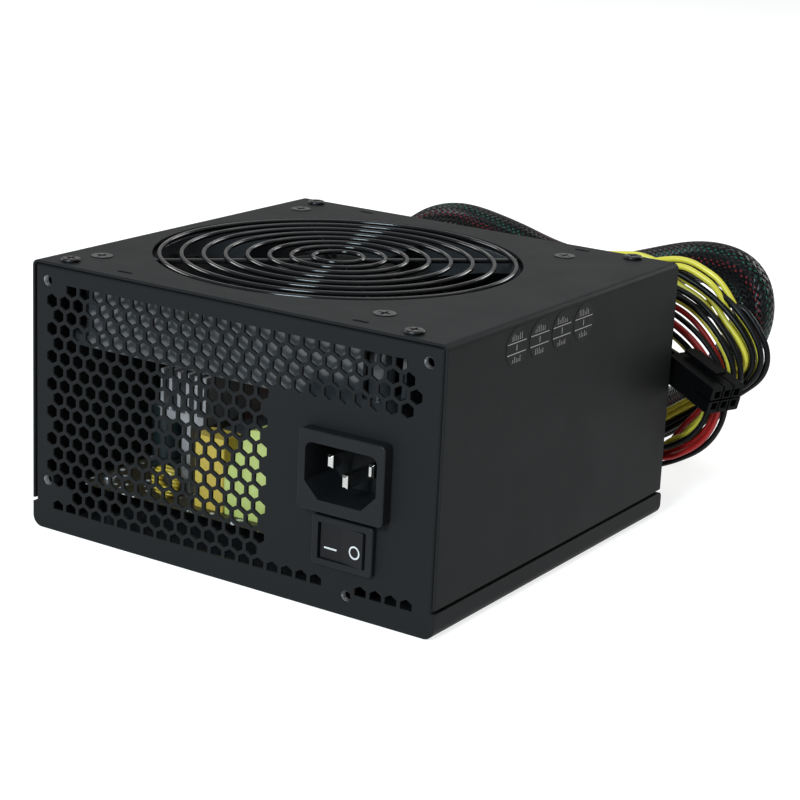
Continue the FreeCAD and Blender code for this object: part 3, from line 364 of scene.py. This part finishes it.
NODE_MATERIALS = {
    "base_shell": enamel(), "cover_shell": enamel(),
    "cover_screws": BLACK_STEEL, "fan_screws": BLACK_STEEL, "fan_guard": GUARD_PAINT,
    "fan_frame": FAN_FRAME_SHEEN, "fan_mount": FAN_PLASTIC, "fan_impeller": FAN_PLASTIC, "fan_yoke": STEEL,
    "fan_magnet": FERRITE,
    "fan_shaft": STEEL, "fan_bearing": BRASS, "fan_stator": STEEL,
    "fan_coils": wound("fan_coil_wire", (0.2, 0.06, 0.02), (0.62, 0.26, 0.1), 0.0006),
    "inlet_socket": BLACK_PLASTIC, "inlet_pins": NICKEL, "switch_housing": BLACK_PLASTIC,
    "switch_rocker": ROCKER_PLASTIC, "switch_terminals": NICKEL, "terminal_boots": BOOT,
    "mains_leads": RED_WIRE, "main_board": laminate(), "board_standoffs": BLACK_STEEL, "board_screws": STEEL,
    "insulator_sheet": FILM, "primary_heatsink": ALUMINIUM, "secondary_heatsink": ALUMINIUM,
    "power_transistors": BLACK_PLASTIC, "main_transformer_core": FERRITE,
    "main_transformer_winding": YELLOW_TAPE, "standby_transformer_core": FERRITE,
    "standby_transformer_winding": YELLOW_TAPE, "line_filter_choke": GREEN_TAPE,
    "damping_choke": wound("choke_wire", (0.45, 0.3, 0.02), (0.78, 0.6, 0.08), 0.0012),
    "film_capacitors": FILM_CASE, "disc_capacitors": CERAMIC,
    "bulk_capacitors": sleeved_can("bulk_can", (0.02, 0.02, 0.035), (0.5, 0.5, 0.5), 0.0508),
    "output_capacitors": sleeved_can("output_can", (0.012, 0.02, 0.02), (0.3, 0.3, 0.28), 0.0322),
    "output_choke": wound("output_choke_wire", (0.24, 0.07, 0.02), (0.66, 0.28, 0.1), 0.0018),
    "bridge_rectifier": BLACK_PLASTIC, "fuse": FUSE_GLASS, "cable_gland": BLACK_PLASTIC,
    "output_harness": BLACK_WIRE, "main_plug": PLUG_PLASTIC, "cpu_plugs": PLUG_PLASTIC,
    "graphics_plug": PLUG_PLASTIC, "drive_plug_a": PLUG_PLASTIC, "drive_plug_b": PALE_PLASTIC,
    "inspection_stickers": STICKER, "fan_lead": RED_WIRE, "fan_plug": PALE_PLASTIC,
}
for node, material in NODE_MATERIALS.items():
    for slot in bpy.data.objects[node].material_slots:
        slot.material = material


# ---- mesh helpers ----
def new_object(name, vertices, faces, materials, face_materials=None, smooth=True):
    """A mesh object in the scene; face_materials gives each face's place in the materials."""
    mesh = bpy.data.meshes.new(name)
    mesh.from_pydata(vertices, [], faces)
    for material in materials:
        mesh.materials.append(material)
    if face_materials:
        mesh.polygons.foreach_set("material_index", face_materials)
    mesh.polygons.foreach_set("use_smooth", [smooth] * len(faces))
    mesh.update()
    obj = bpy.data.objects.new(name, mesh)
    bpy.context.scene.collection.objects.link(obj)
    return obj


def route_line(route):
    """Points along the smooth NURBS curve whose control points are the route's."""
    curve = bpy.data.curves.new("route", "CURVE")
    curve.dimensions = "3D"
    spline = curve.splines.new("NURBS")
    spline.points.add(len(route) - 1)
    for point, place in zip(spline.points, route):
        point.co = (*place, 1.0)
    spline.order_u = 3
    spline.use_endpoint_u = True
    curve.resolution_u = 12
    holder = bpy.data.objects.new("route", curve)
    mesh = bpy.data.meshes.new_from_object(holder)
    points = [v.co.copy() for v in mesh.vertices]
    bpy.data.objects.remove(holder)
    bpy.data.curves.remove(curve)
    bpy.data.meshes.remove(mesh)
    return points


def tangents(points):
    """The line's direction at each point."""
    ends = [points[0]] + points + [points[-1]]
    return [(ends[i + 2] - ends[i]).normalized() for i in range(len(points))]


def carried_frames(points, start, facing):
    """A side and a depth axis at each point, carried without twist both ways from one point."""
    ways = tangents(points)
    depth = (facing - ways[start] * facing.dot(ways[start])).normalized()
    depths = {start: depth}
    for step, stop in ((1, len(points)), (-1, -1)):
        last = depth
        for i in range(start + step, stop, step):
            last = ways[i - step].rotation_difference(ways[i]) @ last
            last = (last - ways[i] * last.dot(ways[i])).normalized()
            depths[i] = last
    return [(ways[i].cross(depths[i]), depths[i]) for i in range(len(points))]


def add_tube(vertices, faces, points, radius, sides):
    """Appends a closed tube round the points; radius is a number or one for each point."""
    first = len(vertices)
    frames = carried_frames(points, len(points) // 2, Vector((0.3, -1.0, 0.2)))
    for i, (point, (side, depth)) in enumerate(zip(points, frames)):
        r = radius[i] if isinstance(radius, list) else radius
        for k in range(sides):
            angle = 2 * math.pi * k / sides
            vertices.append(point + side * (r * math.cos(angle)) + depth * (r * math.sin(angle)))
    for i in range(len(points) - 1):
        for k in range(sides):
            a, b = first + i * sides + k, first + i * sides + (k + 1) % sides
            faces.append((a, b, b + sides, a + sides))
    faces.append(tuple(range(first + sides - 1, first - 1, -1)))
    last = first + (len(points) - 1) * sides
    faces.append(tuple(range(last, last + sides)))


def smoothstep(x):
    """An easy rise from 0 to 1, level before and after."""
    x = min(max(x, 0.0), 1.0)
    return x * x * (3 - 2 * x)


def ring_layout(count, radius, inner=0):
    """Wire places in a round bundle: some in the middle, the rest round them."""
    places = []
    for k in range(inner):
        turn = 2 * math.pi * k / inner
        reach = 0.0 if inner == 1 else radius * 0.42
        places.append((reach * math.cos(turn), reach * math.sin(turn)))
    outer = count - inner
    for k in range(outer):
        turn = 2 * math.pi * (k + 0.3) / outer
        places.append((radius * math.cos(turn), radius * math.sin(turn)))
    return places


def row_layout(order, pitch, zigzag):
    """Wire places in one loose row, by rank, every other one nearer."""
    middle = (len(order) - 1) / 2
    return [((rank - middle) * pitch, zigzag if rank % 2 else -zigzag) for rank in order]


def grid_layout(columns, rows, pitch, split):
    """Wire places in two plugs side by side: columns go inward on the loop, rows to the camera side."""
    places = []
    for i in range(columns):
        gap = split if i >= columns / 2 else 0.0
        for j in range(rows):
            places.append(((i - (columns - 1) / 2) * pitch + gap - split / 2, (j - (rows - 1) / 2) * pitch))
    return places


def bundle(name, route, wires, radius, stations, wander):
    """One mesh of wires along a route. Each station is a share of the length and the wires' places there."""
    sides = 10
    calm_rate = 12
    line = route_line(route)
    frames = carried_frames(line, len(line) * 3 // 5, Vector((0, -1, 0)))
    vertices, faces, indices = [], [], []
    materials = sorted(set(wires), key=lambda m: m.name)
    last = len(line) - 1
    for number, wire in enumerate(wires):
        track = []
        for i, (point, (side, depth)) in enumerate(zip(line, frames)):
            share = i / last
            a, b = stations[-1][1][number]
            for (t0, one), (t1, two) in zip(stations, stations[1:]):
                if t0 <= share <= t1:
                    ease = smoothstep((share - t0) / (t1 - t0))
                    a = one[number][0] + (two[number][0] - one[number][0]) * ease
                    b = one[number][1] + (two[number][1] - one[number][1]) * ease
                    break
            calm = smoothstep(share * calm_rate) * smoothstep((1 - share) * calm_rate)
            a += wander * calm * noise(Vector((share * 9, number * 7.3, 1.7)))
            b += wander * calm * 0.6 * noise(Vector((share * 8, number * 5.1, 9.2)))
            track.append(point + side * a + depth * b)
        before = len(faces)
        add_tube(vertices, faces, track, radius, sides)
        indices += [materials.index(wire)] * (len(faces) - before)
    obj = new_object(name, vertices, faces, materials, indices)
    return obj, line


# ---- output cables: the routes' points, in millimetres ----
def metres(points):
    """The same points in metres."""
    return [(x * MM, y * MM, z * MM) for x, y, z in points]


# main plug: columns of cells, their pitch, and the length over which the wires spread to them
MAIN_COLUMNS = 12
CELL_PITCH = 4.2 * MM
SPREAD_L = 26.4 * MM

MAIN_D = 15.0 * MM
MAIN_ROUTE = metres([
    (41, 70, 49.5), (41, 86, 49.5), (36, 106, 41), (19, 120, 27), (-7, 121, 13), (-36, 120.5, 8.2),
    (-63, 120, 12), (-80, 120, 28), (-78, 119.5, 48), (-62, 118.8, 63.5), (-42.5, 118.5, 76.8),
    (-20, 118.5, 73.6), (2, 118.7, 67.2), (24, 119.2, 65), (43, 120, 71), (61, 120.5, 77),
    (77.5, 120.8, 74.2), (81.5, 121.5, 60), (74, 123.5, 44), (63, 128, 29), (47, 138, 17),
    (26, 150, 9.2), (4, 156, 8.2)])
CPU_ROUTE = metres([
    (26.5, 70, 52.5), (26.5, 84, 52.5), (20, 99.5, 44), (1, 105.5, 31), (-21, 105.5, 15),
    (-46, 105, 5.5), (-70, 105, 13), (-81, 105, 36), (-73, 105, 57), (-50, 105, 68), (-22, 105, 70),
    (6, 104.5, 70.5), (30, 104.8, 73), (51, 105.5, 76.2), (70, 105.8, 69.5), (84, 105.8, 58.5),
    (90, 105.8, 47.5), (82, 105.8, 38), (67, 105.8, 27), (51, 105.5, 15), (34, 105, 9.9), (16, 105, 9.9)])
DRIVE_B_ROUTE = metres([
    (23.5, 70, 44.5), (23.5, 80, 44.5), (18, 91.5, 37.5), (4, 96, 27), (-13, 96, 13), (-31, 95.5, 4),
    (-50, 95.5, 8), (-61, 95.5, 24), (-58, 95.5, 44), (-43, 95.5, 57), (-21, 95.5, 61.5), (3, 95.5, 64),
    (27, 95.8, 67), (48, 96.5, 70), (66, 97.5, 67.5), (79, 98, 57), (86.5, 98, 44), (79, 98, 31.5),
    (69, 97.5, 19), (58, 96.5, 10.6), (43, 96, 10.6)])
DRIVE_A_ROUTE = metres([
    (53, 70, 44.5), (53, 79, 44.5), (46.5, 88, 36), (30, 88.8, 25), (11, 88.8, 13), (-9, 88.5, 4.5),
    (-30, 88.5, 3.5), (-49, 88.5, 9), (-58, 88.5, 25), (-52, 88.5, 42), (-35, 88.5, 52),
    (-13, 88.5, 56), (9, 88.5, 60.5), (30, 88.5, 65), (47, 89, 66), (61, 90, 62), (72.5, 91.5, 55),
    (81, 91.7, 45), (83, 91.5, 33), (78.5, 90.5, 22.5), (68.5, 89.5, 16), (58.5, 88.8, 11.2),
    (48, 88.5, 11.6)])
PCIE_ROUTE = metres([
    (30.5, 70, 43), (30.5, 80.5, 43), (24, 86.5, 34), (7, 84, 22), (-13, 81, 8), (-36, 81, 5),
    (-56, 81, 11), (-67, 81, 28), (-62, 81, 48), (-44, 81, 59), (-22, 81, 62.5), (1, 81, 65),
    (23, 81, 66), (43, 81.3, 62), (58.5, 82, 55.5), (73.1, 82, 49.4)])


def declare(obj, node):
    """Puts a cord's mesh in the place of its plain solid: attaches it to the case and hides the solid."""
    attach(obj, ROOT)
    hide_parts(node)


def cad(node):
    """The object of a node of the CAD part."""
    return bpy.data.objects[node]


def sleeve_mesh(line):
    """A slightly lumpy tube with UV in metres: along the cable, and round it."""
    frames = carried_frames(line, len(line) // 2, Vector((0, -1, 0)))
    sides = 36
    lump_height, lump_rate, lumps_round = 0.035, 60, 2.2
    middle_r = MAIN_D / 2 * 0.975
    vertices, faces, uvs = [], [], []
    along = 0.0
    for i, (point, (side, depth)) in enumerate(zip(line, frames)):
        along += (point - line[i - 1]).length if i else 0.0
        for k in range(sides + 1):
            angle = 2 * math.pi * k / sides
            where = Vector((along * lump_rate, lumps_round * math.cos(angle), lumps_round * math.sin(angle)))
            r = middle_r * (1 + lump_height * noise(where))
            vertices.append(point + side * (r * math.cos(angle)) + depth * (r * math.sin(angle)))
            uvs.append((along, angle * MAIN_D / 2))
    for i in range(len(line) - 1):
        for k in range(sides):
            a = i * (sides + 1) + k
            faces.append((a, a + 1, a + sides + 2, a + sides + 1))
    sleeve = new_object("main_sleeve", vertices, faces, [SLEEVE])
    layer = sleeve.data.uv_layers.new(name="sleeve")
    for loop in sleeve.data.loops:
        layer.data[loop.index].uv = uvs[loop.vertex_index]
    return sleeve


def shrink_collar(line):
    """The heat-shrink collar over the last points of the sleeve."""
    points, sides, bulge = 14, 32, 0.05
    swell = [MAIN_D / 2 * (1 + bulge * math.sin(math.pi * i / (points - 1))) for i in range(points)]
    vertices, faces = [], []
    add_tube(vertices, faces, line[-points:], swell, sides)
    collar = new_object("main_collar", vertices, faces, [SHRINK])
    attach(collar, ROOT)
    return collar


def spread_wires(line):
    """The separate wires from the collar to their cells in the main plug."""
    way = (line[-1] - line[-2]).normalized()
    across = way.cross(Vector((0, 0, 1))).normalized()
    upward = across.cross(way)
    colors = [ORANGE_WIRE, BLACK_WIRE, RED_WIRE, BLACK_WIRE, YELLOW_WIRE, BLUE_WIRE, GREEN_WIRE, RED_WIRE]
    used = sorted(set(colors), key=lambda m: m.name)
    bundled = sorted(ring_layout(2 * MAIN_COLUMNS, MAIN_D / 2 * 0.72, 9))
    cells = [((i - (MAIN_COLUMNS - 1) / 2) * CELL_PITCH, (j - 0.5) * CELL_PITCH)
             for i in range(MAIN_COLUMNS) for j in range(2)]
    steps, sides, wire_r = 14, 8, 0.92 * MM
    start, sag = 0.4 * MM, 1.2 * MM
    vertices, faces, indices = [], [], []
    for number, ((a0, b0), (a1, b1)) in enumerate(zip(bundled, cells)):
        track = []
        for i in range(steps + 1):
            share = i / steps
            ease = smoothstep(share)
            a, b = a0 + (a1 - a0) * ease, b0 + (b1 - b0) * ease
            b += sag * math.sin(math.pi * share) * noise(Vector((number * 3.1, 0.5, 2.0)))
            track.append(line[-1] + way * (share * SPREAD_L - start) + across * a + upward * b)
        before = len(faces)
        add_tube(vertices, faces, track, wire_r, sides)
        indices += [used.index(colors[(number * 5) % len(colors)])] * (len(faces) - before)
    fan = new_object("main_fan_wires", vertices, faces, used, indices)
    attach(fan, ROOT)
    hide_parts("main_wire_fan")
    return fan


def main_sleeve():
    """The braided sleeve, with a heat-shrink collar at its far end and the wires spreading to the plug."""
    line = route_line(MAIN_ROUTE)
    sleeve = sleeve_mesh(line)
    pieces = [shrink_collar(line), spread_wires(line), cad("main_plug")]
    declare(sleeve, "main_cable")


def cpu_cable():
    """Eight loose wires that open into a row over the top of the loop, and end in two plugs."""
    wires = [YELLOW_WIRE, YELLOW_WIRE, BLACK_WIRE, BLACK_WIRE] * 2
    tight = ring_layout(8, 3.3 * MM, 1)
    top = row_layout([0, 1, 2, 3, 4, 5, 6, 7], 1.75 * MM, 1.15 * MM)
    right = row_layout([2, 4, 1, 3, 5, 7, 0, 6], 1.5 * MM, 1.15 * MM)
    close = row_layout([2, 4, 1, 3, 5, 7, 0, 6], 0.95 * MM, 1.4 * MM)
    plug = grid_layout(4, 2, 3.4 * MM, 1.0 * MM)
    plug = [plug[k] for k in (2, 4, 1, 0, 6, 7, 3, 5)]
    stations = [(0, tight), (0.6, tight), (0.655, top), (0.67, top), (0.715, right), (0.745, right),
                (0.83, close), (0.94, close), (1.0, plug)]
    obj, line = bundle("cpu_wires", CPU_ROUTE, wires, 1.05 * MM, stations, 0.5 * MM)
    declare(obj, "cpu_cable")


def graphics_cable():
    """Six loose wires to the plug that stands beside the case."""
    wires = [YELLOW_WIRE, BLACK_WIRE, RED_WIRE, BLACK_WIRE, YELLOW_WIRE, BLACK_WIRE]
    tight = ring_layout(6, 2.35 * MM, 1)
    loose = row_layout([0, 1, 2, 3, 4, 5], 1.5 * MM, 1.2 * MM)
    stations = [(0, tight), (0.12, tight), (0.35, loose), (0.8, loose), (1.0, tight)]
    obj, line = bundle("graphics_wires", PCIE_ROUTE, wires, 1.05 * MM, stations, 0.3 * MM)
    declare(obj, "graphics_cable")


def drive_cables():
    """The four wires and the five wires to the two drive plugs."""
    wires = [RED_WIRE, BLACK_WIRE, YELLOW_WIRE, BLACK_WIRE]
    tight = ring_layout(4, 1.75 * MM)
    top = row_layout([3, 1, 2, 0], 1.9 * MM, 0.9 * MM)
    plug = [((i - 1.5) * 2.9 * MM, 0.0) for i in range(4)]
    stations = [(0, tight), (0.12, tight), (0.35, top), (0.9, top), (1.0, plug)]
    obj, line = bundle("drive_wires_b", DRIVE_B_ROUTE, wires, 1.0 * MM, stations, 0.4 * MM)
    declare(obj, "drive_cable_b")
    wires = [YELLOW_WIRE, BLACK_WIRE, RED_WIRE, RED_WIRE, BLACK_WIRE]
    tight = ring_layout(5, 1.95 * MM)
    loose = row_layout([4, 0, 2, 1, 3], 1.7 * MM, 1.1 * MM)
    plug = [((i - 2) * 2.4 * MM, 0.0) for i in range(5)]
    stations = [(0, tight), (0.12, tight), (0.45, loose), (0.92, loose), (1.0, plug)]
    obj, line = bundle("drive_wires_a", DRIVE_A_ROUTE, wires, 0.95 * MM, stations, 0.4 * MM)
    declare(obj, "drive_cable_a")


main_sleeve()
cpu_cable()
graphics_cable()
drive_cables()


# ---- small detail ----
def screw_threads():
    """Bright cut threads inside the case's fixing holes."""
    steps, turns = 16, 3.4
    count = int(steps * turns)
    root_r, crest_r, half_pitch = FIXING_R - 0.02 * MM, FIXING_R - 0.3 * MM, 0.34 * MM
    end_gap = 0.3 * MM
    vertices, faces = [], []
    for x, z in FIXING_HOLES:
        first = len(vertices)
        for i in range(count + 1):
            angle = 2 * math.pi * i / steps
            y = FACE_Y + end_gap + (COLLAR_L - 2 * end_gap) * i / count
            for r, shift in ((root_r, -half_pitch), (crest_r, 0.0), (root_r, half_pitch)):
                vertices.append((x + r * math.cos(angle), y + shift, z + r * math.sin(angle)))
        for i in range(count):
            a = first + 3 * i
            faces += [(a, a + 1, a + 4, a + 3), (a + 1, a + 2, a + 5, a + 4)]
    obj = new_object("fixing_threads", vertices, faces, [STEEL])
    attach(obj, ROOT)


def rocker_marks():
    """The on bar and the off ring, printed on the two facets of the rocker."""
    lift = 0.04 * MM
    bar_x, bar_z = (-6.2 * MM, -1.8 * MM), (-2.3 * MM, -1.8 * MM)
    ring_x, ring_z, ring_radii = 4.7 * MM, -1.1 * MM, (1.5 * MM, 1.99 * MM)
    vertices, faces = [], []

    def facet_point(across, up):
        """A point on the rocker's face: metres from its ridge, and up from its middle."""
        slope = -ROCKER_RIDGE - abs(across) * math.tan(ROCKER_FACET) - lift
        flat = Vector((across, slope, up))
        return ROCKER_PIVOT + Matrix.Rotation(ROCKER_TILT, 3, "Z") @ flat

    for i, j in ((0, 0), (1, 0), (1, 1), (0, 1)):
        vertices.append(facet_point(bar_x[i], bar_z[j]))
    faces.append((0, 1, 2, 3))
    steps = 40
    first = len(vertices)
    for k in range(steps):
        angle = 2 * math.pi * k / steps
        for r in ring_radii:
            vertices.append(facet_point(ring_x + r * math.cos(angle), ring_z + r * math.sin(angle)))
    for k in range(steps):
        a, b = first + 2 * k, first + 2 * ((k + 1) % steps)
        faces.append((a, a + 1, b + 1, b))
    obj = new_object("rocker_marks", vertices, faces, [PRINT], smooth=False)
    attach(obj, "rocker")


def sticker_print():
    """Two rules and plain tick marks on each round sticker, in place of words."""
    rules_z, rule_half, rule_h = (1.45 * MM, -1.75 * MM), 5.3 * MM, 0.24 * MM
    tick_rows = ((6, 2.3 * MM, 4.2 * MM), (5, -4.3 * MM, -2.5 * MM))
    tick_pitch, tick_half, shortfalls = 1.05 * MM, 0.1 * MM, (0.0, 0.5, 0.8)
    foot_half, foot_h = 0.3 * MM, 0.15 * MM
    dash_half_w, dash_half_h = 0.15 * MM, 0.9 * MM
    vertices, faces = [], []

    def bar(y0, z0, y1, z1):
        """A flat box of print: y along the case, z up from the stickers' middle."""
        first = len(vertices)
        corners = ((y0, z0), (y1, z0), (y1, z1), (y0, z1))
        vertices.extend([(STICKER_FACE_X, along, STICKER_Z + up) for along, up in corners])
        faces.append((first, first + 1, first + 2, first + 3))

    for y in STICKER_Y:
        for z in rules_z:
            bar(y - rule_half, z, y + rule_half, z + rule_h)
        for count, low, high in tick_rows:
            for k in range(count):
                at = y + (k - (count - 1) / 2) * tick_pitch
                bar(at - tick_half, low, at + tick_half, high - rng.choice(shortfalls) * MM)
                bar(at - foot_half, low, at + foot_half, low + foot_h)
        bar(y - dash_half_w, -dash_half_h, y + dash_half_w, dash_half_h)
    obj = new_object("sticker_print", vertices, faces, [FADED_PRINT], smooth=False)
    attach(obj, ROOT)


screw_threads()
rocker_marks()
sticker_print()


# ---- stage: floor, light and camera ----
def area_light(name, place, target, size, power, color=(1, 1, 1)):
    """A rectangular light at a place, turned to face its target."""
    data = bpy.data.lights.new(name, "AREA")
    data.shape = "RECTANGLE"
    data.size, data.size_y = size
    data.energy = power
    data.color = color
    obj = bpy.data.objects.new(name, data)
    obj.location = place
    obj.rotation_euler = (Vector(target) - Vector(place)).to_track_quat("-Z", "Y").to_euler()
    bpy.context.scene.collection.objects.link(obj)


def floor():
    """White paper that glows a little, so that it stays white away from the lights."""
    half, drop = 8, 0.2 * MM
    shader = Shader("paper", (0.4, 0.4, 0.4), 0.9, specular=0.1)
    shader.tint((0.39, 0.39, 0.39), (0.41, 0.41, 0.41), 3.0)
    shader.set("Emission Color", (1.0, 1.0, 1.0, 1.0))
    shader.set("Emission Strength", 0.76)
    corners = [(-half, -half, 0), (half, -half, 0), (half, half, 0), (-half, half, 0)]
    obj = new_object("paper_floor", corners, [(0, 1, 2, 3)], [shader.material], smooth=False)
    obj.location.z = -drop


def camera():
    """The camera that was fitted to the photo."""
    data = bpy.data.cameras.new("camera")
    data.sensor_width = SENSOR
    data.lens = LENS
    data.clip_start = 0.05
    obj = bpy.data.objects.new("camera", data)
    rotation = Matrix((CAMERA_RIGHT, CAMERA_UP, -CAMERA_AHEAD)).transposed().to_4x4()
    obj.matrix_world = Matrix.Translation(CAMERA_PLACE) @ rotation
    bpy.context.scene.collection.objects.link(obj)
    bpy.context.scene.camera = obj


def light():
    """A dim white room, a cool key from the front, and soft lights from above, behind and the left."""
    world = bpy.data.worlds.new("studio")
    world.use_nodes = True
    background = world.node_tree.nodes["Background"]
    background.inputs["Color"].default_value = (1.0, 1.0, 1.0, 1.0)
    background.inputs["Strength"].default_value = 0.36
    bpy.context.scene.world = world
    area_light("key", (0.1, -1.35, 0.78), (0, 0, 0.04), (0.5, 0.5), 31.0, (0.73, 0.9, 1.0))
    area_light("top", (0.1, 0.5, 1.4), (0, 0, 0.05), (1.6, 1.3), 9.0)
    area_light("rim", (-0.8, 1.15, 0.75), (0, 0, 0.08), (0.9, 0.4), 1.4)
    area_light("left_fill", (-1.3, -0.1, 0.35), (0, 0, 0.04), (0.6, 0.5), 6.0)
    area_light("back_fill", (0.25, 1.5, 0.5), (0, 0, 0.04), (0.6, 0.5), 5.0)


floor()
light()
camera()
bpy.context.scene.view_settings.view_transform = "Standard"
